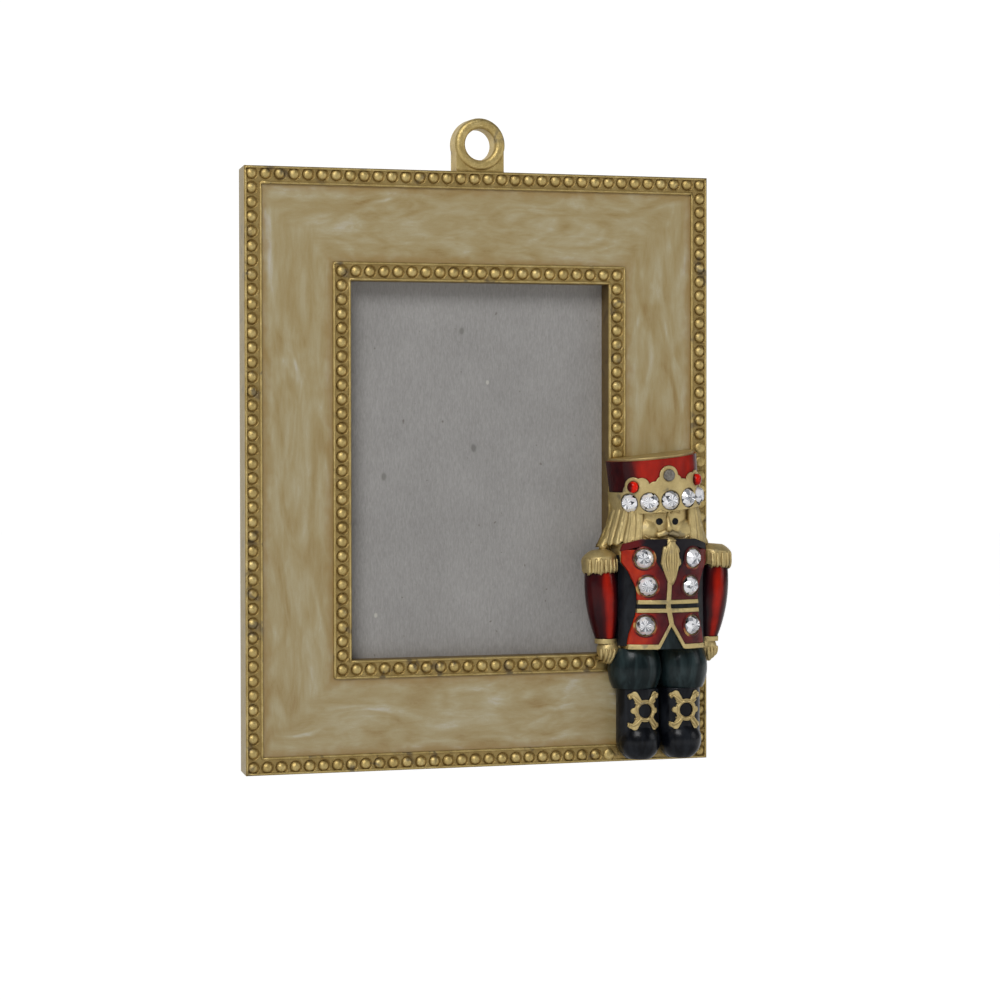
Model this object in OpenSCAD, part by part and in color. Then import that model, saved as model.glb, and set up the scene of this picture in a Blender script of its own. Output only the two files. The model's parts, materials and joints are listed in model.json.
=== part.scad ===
// Hanging miniature picture frame: one gilt casting with beaded borders, a hanging loop and a toy
// soldier in high relief, with enamel poured into its cells, cut-glass stones and a card backing.
// The front faces -Y. The origin is the middle of the bore in the hanging loop.

/* [Frame] */
// Width of the frame at its front face
frame_w = 50; // [46:0.5:60]
// Height of the frame at its front face, without the loop
frame_h = 61.2; // [58:0.5:72]
// Thickness of the frame from the rims to the back
frame_t = 3; // [2.6:0.1:4]
// How much smaller the back is than the front on each side, so that the casting leaves its mould
draft = 0.2; // [0:0.05:0.5]

/* [Borders] */
// Width of the beaded strip along the outside edge
outer_strip = 1.8; // [1.6:0.05:2.4]
// Width of the beaded strip round the window
inner_strip = 1.9; // [1.6:0.05:2.4]
// Width of each enamelled rail, from the outside strip to the inside strip
rail_w = 7.35; // [6:0.05:9]
// How much wider the top and bottom rails are than the side rails
rail_extra = 0.3; // [0:0.05:1]
// Distance from one bead to the next along a border
bead_pitch = 1.46; // [1.4:0.02:1.8]
// Radius of a bead
bead_r = 0.62; // [0.4:0.02:0.64]
// How far a bead stands in front of the rims
bead_proud = 0.2; // [0:0.02:0.3]
// Radius of the round cup that holds a bead
cup_r = 0.68; // [0.6:0.01:0.68]
// Depth of that cup below the rims
cup_depth = 0.36; // [0.3:0.02:0.5]

/* [Enamel] */
// Depth of the cell that holds the enamel of the rails
cell_depth = 0.8; // [0.5:0.05:1.2]
// How far the enamel of the rails lies below the rims
enamel_low = 0.16; // [0.05:0.01:0.3]
// Thickness of the enamel on the soldier
coat_t = 0.3; // [0.2:0.02:0.4]

/* [Hanging loop] */
// Radius of the bore
loop_bore_r = 1.6; // [1.2:0.05:1.9]
// Outside radius of the loop
loop_r = 2.7; // [2.4:0.05:3.4]
// Thickness of the loop, front to back
loop_t = 2.4; // [1.8:0.1:2.6]
// Height of the bore's centre above the frame's top edge
loop_rise = 2.83; // [2.4:0.05:3.4]
// Rounding of the loop's edges
loop_round = 0.45; // [0.2:0.05:0.5]

/* [Backing] */
// Thickness of the card behind the window
card_t = 0.9; // [0.5:0.05:1.2]
// How far the card reaches behind the lip on each side
card_lap = 1.2; // [0.8:0.1:1.8]
// Gap between the card's edge and its pocket
card_gap = 0.15; // [0.05:0.05:0.3]
// Length of a retaining tab, from its root to its tip
tab_l = 3.2; // [2.8:0.1:4.5]
// Width of a retaining tab
tab_w = 3; // [2:0.1:4]
// Thickness of a retaining tab
tab_t = 0.45; // [0.3:0.05:0.7]

/* [Soldier] */
// Distance from the soldier's middle to the frame's right-hand edge
soldier_inset = 6.1; // [5.9:0.1:6.6]
// Height of the soldier's soles above the frame's bottom edge
sole_z = 0.45; // [0.2:0.05:0.8]
// Radius of the hat
hat_r = 4.8; // [4.6:0.05:4.9]
// How far the hat leans to the soldier's right, in degrees
hat_roll = 6; // [0:0.5:8]
// How far the hat nods forward, in degrees
hat_nod = 2; // [0:0.5:6]
// Radius of an arm at its widest
arm_r = 1.82; // [1.6:0.02:1.9]
// How far an arm leans, in degrees
arm_lean = 5; // [0:0.5:8]
// Radius of a trouser leg at its widest
thigh_r = 2.8; // [2.5:0.05:2.9]
// Radius of a boot
boot_r = 2.25; // [2:0.05:2.28]

/* [Stones] */
// Radius of a cut-glass stone at its girdle
stone_r = 1; // [0.8:0.02:1.05]
// Height of a stone from its flat back to its table
stone_h = 0.72; // [0.5:0.02:0.9]
// Gap between a stone and its cup
stone_gap = 0.04; // [0.02:0.01:0.06]
// Wall of a stone's cup
stone_wall = 0.12; // [0.1:0.01:0.2]

/* [Hidden] */
$fn = 48;

// Frame and borders; heights are taken from the frame's bottom edge, depths from its rims
back = frame_t;
loop_z = frame_h + loop_rise;
loop_y = back / 2 - 0.1;
window_inset = outer_strip + rail_w + inner_strip;
window_w = frame_w - 2 * window_inset;
window_h = frame_h - 2 * (window_inset + rail_extra);
window_z = window_inset + rail_extra;
card_y = back - card_t;
outer_inset = outer_strip * 0.42;
inner_inset = inner_strip / 2;
rim_round = 0.8;
root_y = cell_depth + 0.3;
flange = 0.1;

// Soldier, from the soles up
soldier_x = frame_w / 2 - soldier_inset;
boot_top_z = sole_z + 7.35;
thigh_z = boot_top_z + 2.1;
hem_z = boot_top_z + 4.2;
face_z = hem_z + 11;
eye_z = face_z + 2.2;
hat_z = face_z + 3.45;
hat_h = 5.75;
hat_flare = 0.1;
band_h = 2.3;
stone_row_z = 1.15;
// The garland's arcs are drawn for a hat of radius 4.8 and grow with it
garland_scale = hat_r / 4.8;
garland_arcs = [[34, 2.95, 0.78], [18, band_h, 0.95], [7, 2.9, 0.9], [51, band_h, 0.8]];
lobe_r = garland_scale;
lobe_z = 3.75;
lobe_drop = 0.9;
lobe_angle = 45;
dot_r = 0.62;
stone_angle = 26.5;
stone_row = [-2 * stone_angle, -stone_angle, 0, stone_angle, 2 * stone_angle];
leg_x = boot_r + 0.05;
leg_y = -1.4;
toe_r = boot_r - 0.05;
toe_y = -2.0;
toe_z = sole_z + 1.9;
thigh_x = thigh_r - 0.2;
thigh_y = -1.3;
thigh_bow = 4.7;
bow_z = sole_z + 5.1;
bow_hole_r = 0.75;
arm_x = 6.1;
arm_y = -1.1;
arm_bow = 16;
arm_rise = 0.5;
cuff_z = hem_z + 0.95;
arm_z = cuff_z + 4.8;
shoulder_z = cuff_z + 7;
chest_r = 7;
chest_y = 2;
chest_front = chest_y - chest_r;
face_r = hat_r - 0.65;
gold_lift = 0.12;
seat_t = 0.16;
cup_root = 0.6;
girdle = 0.25;
coat_stones = [[2.74, hem_z + 9.4], [2.38, hem_z + 6.55], [2.6, hem_z + 2.45]];

// How far the coat enamel reaches to each side, just short of the collar's outer corners
coat_reach = 4.7;
// Half-widths of the coat at heights above its hem
coat_edge = [
    [4.25, 0], [4.2, 0.6], [4.05, 1.6], [3.5, 3.5], [3.35, 5], [3.4, 6.2], [4.1, 8], [4.7, 9], [4.8, 10.3]
];
// The collar, from its lower edge round the beard to its upper edge, one half of it
collar_edge = [
    [0, 8.1], [0.9, 8.1], [1.4, 8.8], [2, 10.1], [3.2, 10.6], [4.8, 10.15], [4.6, 10.9], [3, 11.4], [0, 11.4]
];
// Height of the belt above the hem, and its width
belt_z = 3.8;
belt_h = 1.3;
// The front edge from the beard to the belt, and where the two halves of the coat part below it
split_x = -0.2;
edge_top = [-0.1, 7.6];
edge_mid = [-0.3, 4.4];
opening_top = [0.05, 2.7];
opening_left = [-1.35, 0];
opening_right = [1.65, 0];

// Extrudes an outline drawn in X and Z from y_front back to y_back
module slab(y_front, y_back) {
    translate([0, y_back, 0])
        rotate([90, 0, 0])
            linear_extrude(height = y_back - y_front)
                children();
}

// Everything in front of the depth y
module ahead(y) {
    intersection() {
        children();
        translate([-30, y - 30, -10])
            cube([60, 30, 100]);
    }
}

// Rectangle centred on X, standing on z
module panel(w, h, z) {
    translate([-w / 2, z])
        square([w, h]);
}

// Rectangle with round corners, centred on X, standing on z
module round_panel(w, h, z, r) {
    union() {
        panel(w - 2 * r, h, z);
        panel(w, h - 2 * r, z + r);
        for (sx = [-1, 1], cz = [z + r, z + h - r])
            translate([sx * (w / 2 - r), cz])
                circle(r);
    }
}

// Line between two points of an outline, with round ends
module line(a, b, w) {
    l = norm(b - a);
    translate(a)
        rotate([0, 0, atan2(b[1] - a[1], b[0] - a[0])])
            union() {
                translate([0, -w / 2])
                    square([l, w]);
                circle(w / 2);
                translate([l, 0])
                    circle(w / 2);
            }
}

// Round bar between two points, with round ends
module bar(a, b, r) {
    d = b - a;
    l = norm(d);
    translate(a)
        rotate([0, acos(d[2] / l), atan2(d[1], d[0])])
            union() {
                cylinder(r = r, h = l);
                sphere(r);
                translate([0, 0, l])
                    sphere(r);
            }
}

// Block that narrows by the taper on each side between the depths y_front and y_back
module drafted_block(w, h, z, taper, y_front, y_back) {
    d = y_back - y_front;
    intersection() {
        translate([0, 0, z])
            linear_extrude(height = h)
                polygon([
                    [-w / 2, y_front], [w / 2, y_front], [w / 2 - taper, y_back], [-w / 2 + taper, y_back]
                ]);
        rotate([90, 0, 90])
            translate([0, 0, -w / 2 - 1])
                linear_extrude(height = w + 2)
                    polygon([[y_front, z], [y_front, z + h], [y_back, z + h - taper], [y_back, z + taper]]);
    }
}

// Centres of the beads round a rectangle of half-width hw, from the height z0 to z1
function bead_line(hw, z0, z1) =
    let(nx = round(2 * hw / bead_pitch), nz = round((z1 - z0) / bead_pitch))
    concat(
        [for (i = [0:nx], z = [z0, z1]) [-hw + 2 * hw * i / nx, z]],
        [for (i = [1:nz - 1], x = [-hw, hw]) [x, z0 + (z1 - z0) * i / nz]]
    );

// Does a bead at p reach a box of the soldier's?
function meets(p, x, z0, z1) =
    abs(p[0] - soldier_x) < x + bead_r && p[1] > z0 - bead_r && p[1] < z1 + bead_r;
function under_soldier(p) =
    meets(p, leg_x + boot_r, sole_z, boot_top_z)
    || meets(p, thigh_x + thigh_r, boot_top_z, hem_z)
    || meets(p, arm_x + 0.2, cuff_z - 2.7, cuff_z)
    || meets(p, arm_x + arm_r + 0.2, cuff_z, shoulder_z + 2.3)
    || meets(p, 5.6, shoulder_z, hat_z)
    || meets(p, hat_r + hat_flare, hat_z - 0.5, hat_z + hat_h + 0.2);

outer_beads = bead_line(frame_w / 2 - outer_inset, outer_inset, frame_h - outer_inset);
inner_beads = bead_line(
    window_w / 2 + inner_inset, window_z - inner_inset, window_z + window_h + inner_inset
);
beads = [for (p = concat(outer_beads, inner_beads)) if (!under_soldier(p)) p];

// The round cup cut for each bead
module bead_cups() {
    for (p = beads)
        translate([p[0], -1, p[1]])
            rotate([-90, 0, 0])
                cylinder(r = cup_r, h = 1 + cup_depth);
}

module bead_domes() {
    for (p = beads)
        translate([p[0], bead_r - bead_proud, p[1]])
            sphere(bead_r);
}

// Outline of the rails, between the two beaded strips
module rail_outline() {
    difference() {
        panel(frame_w - 2 * outer_strip, frame_h - 2 * outer_strip, outer_strip);
        round_panel(
            window_w + 2 * inner_strip, window_h + 2 * inner_strip, window_z - inner_strip, rim_round
        );
    }
}

// Ground that the soldier stands on, from the rims down into the plate
module root_outline() {
    foot = leg_x + sqrt(pow(boot_r, 2) - pow(enamel_low - leg_y, 2)) + flange;
    hip = thigh_x + sqrt(pow(thigh_r, 2) - pow(enamel_low - thigh_y, 2)) + flange;
    side = min(hat_r + hat_flare, soldier_inset - 0.4);
    reach = frame_w / 2 - window_w / 2 - soldier_inset - 0.1;
    lean = tan(hat_roll) * side;
    top = hat_z + hat_h - 0.1;
    polygon([
        [-foot + 0.5, sole_z],
        [side, sole_z],
        [side, top + lean],
        [-reach, top - lean],
        [-reach, hem_z - 0.6],
        [-hip, thigh_z + 0.5],
        [-hip, thigh_z - 0.5],
        [-foot, boot_top_z - 0.4],
        [-foot, toe_z - 0.6]
    ]);
}

// Half-section of the loop: a ring with round edges
module loop_section() {
    w = loop_r - loop_bore_r;
    union() {
        translate([loop_bore_r, -loop_t / 2 + loop_round])
            square([w, loop_t - 2 * loop_round]);
        translate([loop_bore_r + loop_round, -loop_t / 2])
            square([w - 2 * loop_round, loop_t]);
        for (x = [loop_bore_r + loop_round, loop_r - loop_round], y = [-1, 1])
            translate([x, y * (loop_t / 2 - loop_round)])
                circle(loop_round);
    }
}

// The hanging loop on its neck
module hanging_loop() {
    mid_r = (loop_r + loop_bore_r) / 2;
    translate([0, loop_y, loop_z])
        rotate([-90, 0, 0])
            rotate_extrude()
                loop_section();
    difference() {
        slab(loop_y - loop_t / 2 + loop_round / 2, loop_y + loop_t / 2 - loop_round / 2)
            panel(2 * loop_r - 0.3, loop_rise + 0.3, frame_h - 0.3);
        translate([0, loop_y + loop_t, loop_z])
            rotate([90, 0, 0])
                cylinder(r = mid_r, h = 2 * loop_t);
    }
}

// Tabs bent over the back of the card, two on each long side
module retaining_tabs() {
    for (sx = [-1, 1], f = [0.22, 0.78])
        translate([sx * (window_w / 2 + card_lap), 0, window_z + f * window_h])
            slab(back, back + tab_t)
                translate([-tab_l / 2, -tab_w / 2])
                    square([tab_l, tab_w]);
}

module frame_plate() {
    union() {
        difference() {
            drafted_block(frame_w, frame_h, 0, draft, 0, back);
            drafted_block(window_w, window_h, window_z, 0, -1, back + 1);
            slab(card_y, back + 1)
                panel(window_w + 2 * card_lap, window_h + 2 * card_lap, window_z - card_lap);
            slab(-1, cell_depth)
                rail_outline();
            bead_cups();
        }
        bead_domes();
        hanging_loop();
        retaining_tabs();
    }
}

// Boots

module boot_body(side, shell) {
    translate([side * leg_x, 0, 0])
        union() {
            translate([0, leg_y, toe_z])
                cylinder(r = boot_r - shell, h = boot_top_z - toe_z);
            intersection() {
                union() {
                    translate([0, toe_y, toe_z])
                        sphere(toe_r - shell);
                    translate([0, leg_y, toe_z])
                        sphere(boot_r - shell);
                }
                translate([-5, -10, sole_z])
                    cube([10, 20, 5]);
            }
        }
}

// The gold bow: a ring with four curled ends
module bow_outline(side) {
    translate([side * leg_x, bow_z])
        union() {
            circle(bow_hole_r + 0.4);
            for (sx = [-1, 1], sz = [-1, 1]) {
                line([sx * 0.6, sz * 0.75], [sx * 1.1, sz * 1.7], 0.62);
                line([sx * 1.1, sz * 1.7], [sx * 1.45, sz * 1.55], 0.5);
            }
            for (sx = [-1, 1])
                translate([sx * 1.15, 0])
                    circle(0.3);
        }
}

module bow(side) {
    intersection() {
        slab(-8, leg_y)
            bow_outline(side);
        translate([side * leg_x, leg_y, bow_z - 3])
            cylinder(r = boot_r + gold_lift, h = 6);
    }
}

// Pit in the middle of the bow
module bow_pit(side, deep) {
    translate([side * leg_x, leg_y - boot_r + deep, bow_z])
        rotate([90, 0, 0])
            cylinder(r = bow_hole_r, h = 2);
}

module boot_enamel(side) {
    ahead(0)
        difference() {
            boot_body(side, 0);
            boot_body(side, coat_t);
            slab(-8, leg_y)
                bow_outline(side);
        }
}

module bow_drop(side) {
    intersection() {
        bow_pit(side, coat_t + 0.2);
        translate([side * leg_x, leg_y, bow_z - 3])
            cylinder(r = boot_r - 0.05, h = 6);
    }
}

// Trousers

module spindle_section(r, bow, z0, z1) {
    intersection() {
        translate([r - bow, 0])
            circle(bow, $fn = 96);
        translate([0, z0])
            square([r + 1, z1 - z0]);
    }
}

// A swelling limb, round all the way along
module limb(r, bow, z0, z1) {
    rotate_extrude()
        spindle_section(r, bow, z0, z1);
}

module trouser_body(shell) {
    for (side = [-1, 1])
        translate([side * thigh_x, thigh_y, thigh_z])
            limb(thigh_r - shell, thigh_bow - shell, boot_top_z - thigh_z, hem_z - thigh_z);
}

module trouser_enamel() {
    ahead(0)
        difference() {
            union()
                trouser_body(0);
            trouser_body(coat_t);
            hands();
        }
}

// Arms

module arm_place(side) {
    translate([side * arm_x, arm_y, arm_z])
        rotate([0, side * arm_lean, 0])
            children();
}

// The soldier's left arm is carried a little higher than the right one
function arm_top(side) = 2.3 + (side > 0 ? arm_rise : 0);

module arm_body(side, shell) {
    arm_place(side)
        limb(arm_r - shell, arm_bow - shell, -4.8, arm_top(side));
}

// Shoulder piece with a fringe of thick tongues
module epaulette(side) {
    arm_place(side)
        translate([0, 0, arm_top(side)])
            ahead_of_plate()
                union() {
                    rotate_extrude()
                        intersection() {
                            circle(2.35, $fn = 96);
                            square([1.8, 2.2]);
                        }
                    for (a = [-110, -66, -22, 22, 66, 110])
                        rotate([0, 0, a])
                            bar([0, -1.26, 0.3], [0, -1.26, 1.1], 0.66);
                }
}

module ahead_of_plate() {
    intersection() {
        children();
        translate([-20, -20, -20])
            cube([40, 20 + enamel_low - arm_y, 60]);
    }
}

module hand(side) {
    x = side * (arm_x - sin(arm_lean) * 4.8);
    ahead(enamel_low)
        union() {
            translate([x, arm_y, cuff_z - 0.45])
                cylinder(r = 1.2, h = 0.5);
            translate([x - side * 0.25, arm_y - 0.05, cuff_z - 1.1])
                sphere(1.25);
            translate([x - side * 0.4, arm_y - 0.1, cuff_z - 1.75])
                sphere(0.9);
            bar(
                [x - side * 1.15, arm_y - 0.6, cuff_z - 0.5],
                [x - side * 1.25, arm_y - 0.6, cuff_z - 1.5], 0.45
            );
        }
}

module hands() {
    hand(-1);
    hand(1);
}

module sleeve_enamel(side) {
    ahead(0)
        difference() {
            arm_body(side, 0);
            arm_body(side, coat_t);
            epaulette(side);
            hand(side);
        }
}

// Coat

module chest_drum(r) {
    translate([0, chest_y, hem_z - 1])
        cylinder(r = r, h = 16);
}

module coat_outline() {
    right = [for (p = coat_edge) [p[0], hem_z + p[1]]];
    left = [for (i = [len(coat_edge) - 1:-1:0]) [-coat_edge[i][0], hem_z + coat_edge[i][1]]];
    polygon(concat(right, left));
}

module collar_outline() {
    right = [for (p = collar_edge) [p[0], hem_z + p[1]]];
    left = [for (i = [len(collar_edge) - 2:-1:1]) [-collar_edge[i][0], hem_z + collar_edge[i][1]]];
    polygon(concat(right, left));
}

// The dark wedge below the belt, where the coat's fronts part
module vest_outline() {
    polygon([for (p = [opening_left, opening_top, opening_right]) [p[0], hem_z + p[1]]]);
}

// Gold lines of the coat: hem, belt, front edge and the two edges of the opening
module trim_outline() {
    o = [0, hem_z];
    union() {
        for (x = [[-5, opening_left[0]], [opening_right[0], 5]])
            translate([x[0], hem_z])
                square([abs(x[1] - x[0]), 0.5]);
        for (z = [0, belt_h - 0.42])
            translate([-5, hem_z + belt_z + z])
                square([10, 0.42]);
        line(o + opening_top, o + opening_left + [0.05, 0.2], 0.3);
        line(o + opening_top, o + opening_right + [-0.05, 0.2], 0.36);
        line(o + edge_mid, o + opening_top, 0.5);
        line(o + edge_top, o + edge_mid, 0.46);
    }
}

module on_chest(side, i, r) {
    x = side * coat_stones[i][0];
    translate([0, chest_y, coat_stones[i][1]])
        rotate([0, 0, asin(x / chest_r)])
            translate([0, -r, 0])
                rotate([90, 0, 0])
                    children();
}

module coat_cups(side) {
    for (i = [0:2])
        on_chest(side, i, chest_r - seat_t - cup_root)
            stone_cup();
}

module torso_core() {
    intersection() {
        chest_drum(chest_r - coat_t);
        slab(-8, enamel_low)
            union() {
                coat_outline();
                collar_outline();
            }
    }
}

module torso_trim() {
    intersection() {
        chest_drum(chest_r + gold_lift);
        slab(-8, chest_y - chest_r + 1.9)
            intersection() {
                trim_outline();
                coat_outline();
            }
    }
}

module chest_shell(outer, inner) {
    difference() {
        chest_drum(outer);
        chest_drum(inner);
    }
}

// Half of the coat's outline, left or right of the front edge, from the height z0 to z1
module coat_half(side, z0, z1) {
    split = z1 > belt_z + 0.1 ? split_x : split_x + 0.08;
    x0 = side > 0 ? split : -coat_reach;
    x1 = side > 0 ? coat_reach : split;
    intersection() {
        coat_outline();
        translate([x0, hem_z + z0])
            square([x1 - x0, z1 - z0]);
    }
}

// Red enamel of one side of the coat, above the belt or below it
module coat_enamel(side, z0, z1) {
    difference() {
        intersection() {
            chest_shell(chest_r, chest_r - coat_t);
            slab(-8, 0)
                difference() {
                    coat_half(side, z0, z1);
                    trim_outline();
                    collar_outline();
                    vest_outline();
                }
        }
        coat_cups(side);
        beard();
    }
}

module vest_enamel() {
    intersection() {
        chest_shell(chest_r - 0.12, chest_r - coat_t);
        slab(-8, 0)
            difference() {
                vest_outline();
                trim_outline();
            }
    }
}

module belt_enamel(side) {
    intersection() {
        chest_shell(chest_r - 0.1, chest_r - coat_t);
        slab(-8, 0)
            difference() {
                coat_half(side, belt_z + 0.4, belt_z + belt_h - 0.4);
                trim_outline();
            }
    }
}

module collar_enamel(side) {
    difference() {
        intersection() {
            chest_shell(chest_r - 0.05, chest_r - coat_t);
            slab(-8, 0)
                intersection() {
                    collar_outline();
                    translate([side > 0 ? 0.3 : -10.3, hem_z + 8])
                        square([10, 5]);
                }
        }
        head();
        coat_cups(side);
        epaulette(side);
    }
}

// The dark hollow between the coat and an arm
module side_enamel(side) {
    edge = [[2.5, 0], [2.5, -4.05], [3.4, -3.85], [4.4, -3.1], [4.85, -2.4], [4.85, 0]];
    difference() {
        translate([0, 0, hem_z + 0.3])
            linear_extrude(height = 9.4)
                polygon([for (p = edge) [side * p[0], p[1]]]);
        slab(-8, 1)
            coat_outline();
        arm_body(side, 0);
        hand(side);
        epaulette(side);
        head();
    }
}

// Head

module face_outline() {
    round_panel(6, 3.9, face_z, 1.3);
}

module features() {
    bar([0, -face_r + 0.15, eye_z + 0.2], [0, -face_r - 0.2, eye_z - 0.62], 0.28);
    for (s = [-1, 1]) {
        bar([s * 0.3, -face_r - 0.07, eye_z - 1.15], [s * 0.95, -face_r + 0.05, eye_z - 1.38], 0.36);
        translate([s * 1.7, 1.85 - face_r, eye_z - 1.05])
            sphere(1.85);
    }
    translate([0.1, chest_front + 0.5, face_z])
        sphere(0.64);
}

module beard() {
    for (k = [-1.5, -0.5, 0.5, 1.5]) {
        bar(
            [k * 0.36, chest_front + 0.15, hem_z + 10.6 - abs(k) * 0.15],
            [k * 0.5, chest_front + 0.08 + abs(k) * 0.05, hem_z + 8.9], 0.34
        );
        bar(
            [k * 0.5, chest_front + 0.08 + abs(k) * 0.05, hem_z + 8.9],
            [k * 0.1, chest_front + 0.05, hem_z + 6.85 + abs(k) * 0.25], 0.3
        );
    }
}

// Thick strands that fall outwards from the hat, on a solid mass
module hair() {
    intersection() {
        translate([0, 0, face_z - 0.2])
            cylinder(r1 = hat_r + 0.1, r2 = hat_r - 0.85, h = 3.7);
        slab(-6, enamel_low)
            for (s = [-1, 1])
                polygon([
                    [s * 2.7, face_z + 0.1], [s * 5.2, face_z - 0.1], [s * 4.3, face_z + 3.5],
                    [s * 2.7, face_z + 3.5]
                ]);
    }
    for (s = [-1, 1]) {
        bar([s * 2.9, -2.75, face_z + 3.5], [s * 3.0, -2.95, face_z + 0.7], 0.6);
        bar([s * 3.3, -2.35, face_z + 3.5], [s * 3.75, -2.55, face_z + 0.35], 0.6);
        bar([s * 3.7, -1.8, face_z + 3.5], [s * 4.1, -2.0, face_z + 1.8], 0.6);
        bar([s * 4.1, -2.0, face_z + 1.8], [s * 4.6, -1.8, face_z + 0.1], 0.56);
        bar([s * 4.0, -1.1, face_z + 3.5], [s * 4.45, -1.2, face_z + 1.6], 0.6);
        bar([s * 4.45, -1.2, face_z + 1.6], [s * 5.3, -1.0, face_z - 0.2], 0.54);
        bar([s * 4.1, -0.45, face_z + 3.3], [s * 4.7, -0.45, face_z + 1.4], 0.56);
        bar([s * 4.7, -0.45, face_z + 1.4], [s * 5.7, -0.35, face_z - 0.5], 0.5);
    }
}

module head() {
    intersection() {
        translate([0, 0, face_z])
            cylinder(r = face_r, h = 4);
        slab(-8, enamel_low)
            face_outline();
    }
    hair();
    features();
    beard();
}

module eye_pit(side) {
    translate([side * 0.87, -face_r + 0.4, eye_z])
        rotate([90, 0, 0])
            cylinder(r = 0.36, h = 1);
}

module eye(side) {
    translate([side * 0.87, -face_r + 0.4, eye_z])
        rotate([90, 0, 0])
            cylinder(r = 0.36, h = 0.28);
}

// Hat

module hat_place() {
    translate([0.15, 0, hat_z])
        rotate([hat_nod, -hat_roll, 0])
            children();
}

// Places a child on the side of the hat, facing outwards
module on_hat(angle, z, r) {
    rotate([0, 0, angle])
        translate([0, -r, z])
            rotate([90, 0, 0])
                children();
}

module hat_drum(shell, z0, z1) {
    translate([0, 0, z0])
        cylinder(
            r1 = hat_r - shell + hat_flare * z0 / hat_h, r2 = hat_r - shell + hat_flare * z1 / hat_h,
            h = z1 - z0
        );
}

// The space that the garland takes round the hat: the band for the stones and three lobes
module garland_space() {
    union() {
        translate([0, 0, -1])
            cylinder(r = hat_r + 2, h = band_h + 1);
        for (a = [-1, 0, 1])
            on_hat(a * lobe_angle, lobe_z - lobe_drop * abs(a), 2)
                cylinder(r = lobe_r, h = hat_r);
        for (side = [-1, 1], arc = garland_arcs)
            on_hat(side * arc[0], arc[1], 2)
                cylinder(r = arc[2] * garland_scale, h = hat_r);
    }
}

module stone_cup() {
    cylinder(r = stone_r + stone_gap + stone_wall, h = cup_root + stone_h * girdle);
}

module stone_pocket() {
    translate([0, 0, cup_root])
        cylinder(r = stone_r + stone_gap, h = stone_h + 2);
}

// A flat-backed brilliant: round girdle, a ring of facets and an eight-sided table
module stone() {
    hull() {
        cylinder(r = stone_r, h = stone_h * girdle, $fn = 16);
        translate([0, 0, stone_h * 0.66])
            rotate([0, 0, 22.5])
                cylinder(r = stone_r * 0.82, h = 0.01, $fn = 8);
        translate([0, 0, stone_h - 0.01])
            cylinder(r = stone_r * 0.5, h = 0.01, $fn = 8);
    }
}

module hat_gold() {
    hat_place()
        union() {
            hat_drum(coat_t, 0, hat_h);
            intersection() {
                hat_drum(-gold_lift, 0, hat_h);
                garland_space();
            }
        }
}

module hat_pits() {
    hat_place()
        union() {
            for (a = stone_row)
                on_hat(a, stone_row_z, hat_r - seat_t - cup_root)
                    stone_pocket();
            for (a = [-1, 0, 1])
                on_hat(a * lobe_angle, lobe_z - lobe_drop * abs(a), hat_r - coat_t)
                    cylinder(r = dot_r, h = 2);
        }
}

module hat_enamel() {
    ahead(0)
        hat_place()
            difference() {
                hat_drum(0, 0, hat_h - 0.25);
                hat_drum(coat_t, -1, hat_h + 1);
                garland_space();
            }
}

module badge_dot(a, high) {
    hat_place()
        on_hat(a * lobe_angle, lobe_z - lobe_drop * abs(a), hat_r - coat_t)
            intersection() {
                cylinder(r = dot_r, h = 2);
                translate([0, 0, high - 1])
                    sphere(1);
            }
}

// The soldier's own metal, standing on the plate
module soldier_gold() {
    difference() {
        union() {
            torso_core();
            torso_trim();
            for (s = [-1, 1]) {
                boot_body(s, coat_t);
                bow(s);
                coat_cups(s);
                arm_body(s, coat_t);
                epaulette(s);
                hand(s);
            }
            trouser_body(coat_t);
            head();
            ahead(enamel_low)
                hat_gold();
        }
        hat_pits();
        for (s = [-1, 1]) {
            bow_pit(s, coat_t + 0.2);
            eye_pit(s);
            for (i = [0:2])
                on_chest(s, i, chest_r - seat_t - cup_root)
                    stone_pocket();
        }
    }
}

// Moves a child to its place in the soldier, and then the whole row to the loop's bore
module to_bore() {
    translate([0, -loop_y, -loop_z])
        children();
}

module to_soldier() {
    translate([soldier_x, -loop_y, -loop_z])
        children();
}

module casting() {
    color("goldenrod")
        union() {
            to_bore()
                frame_plate();
            to_soldier()
                slab(0, root_y)
                    root_outline();
            to_soldier()
                soldier_gold();
        }
}

module field_enamel() {
    color("antiquewhite")
        to_bore()
            slab(enamel_low, cell_depth)
                difference() {
                    rail_outline();
                    translate([soldier_x, 0])
                        root_outline();
                }
}

module backing_card() {
    color("gray")
        to_bore()
            slab(card_y, back)
                panel(
                    window_w + 2 * (card_lap - card_gap),
                    window_h + 2 * (card_lap - card_gap),
                    window_z - card_lap + card_gap
                );
}

module hat_stone(i) {
    color("white")
        to_soldier()
            hat_place()
                on_hat(stone_row[i], stone_row_z, hat_r - seat_t)
                    stone();
}

module coat_stone(side, i) {
    color("white")
        to_soldier()
            on_chest(side, i, chest_r - seat_t)
                stone();
}

module red() {
    color("firebrick")
        to_soldier()
            children();
}

module black() {
    color("black")
        to_soldier()
            children();
}

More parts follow.
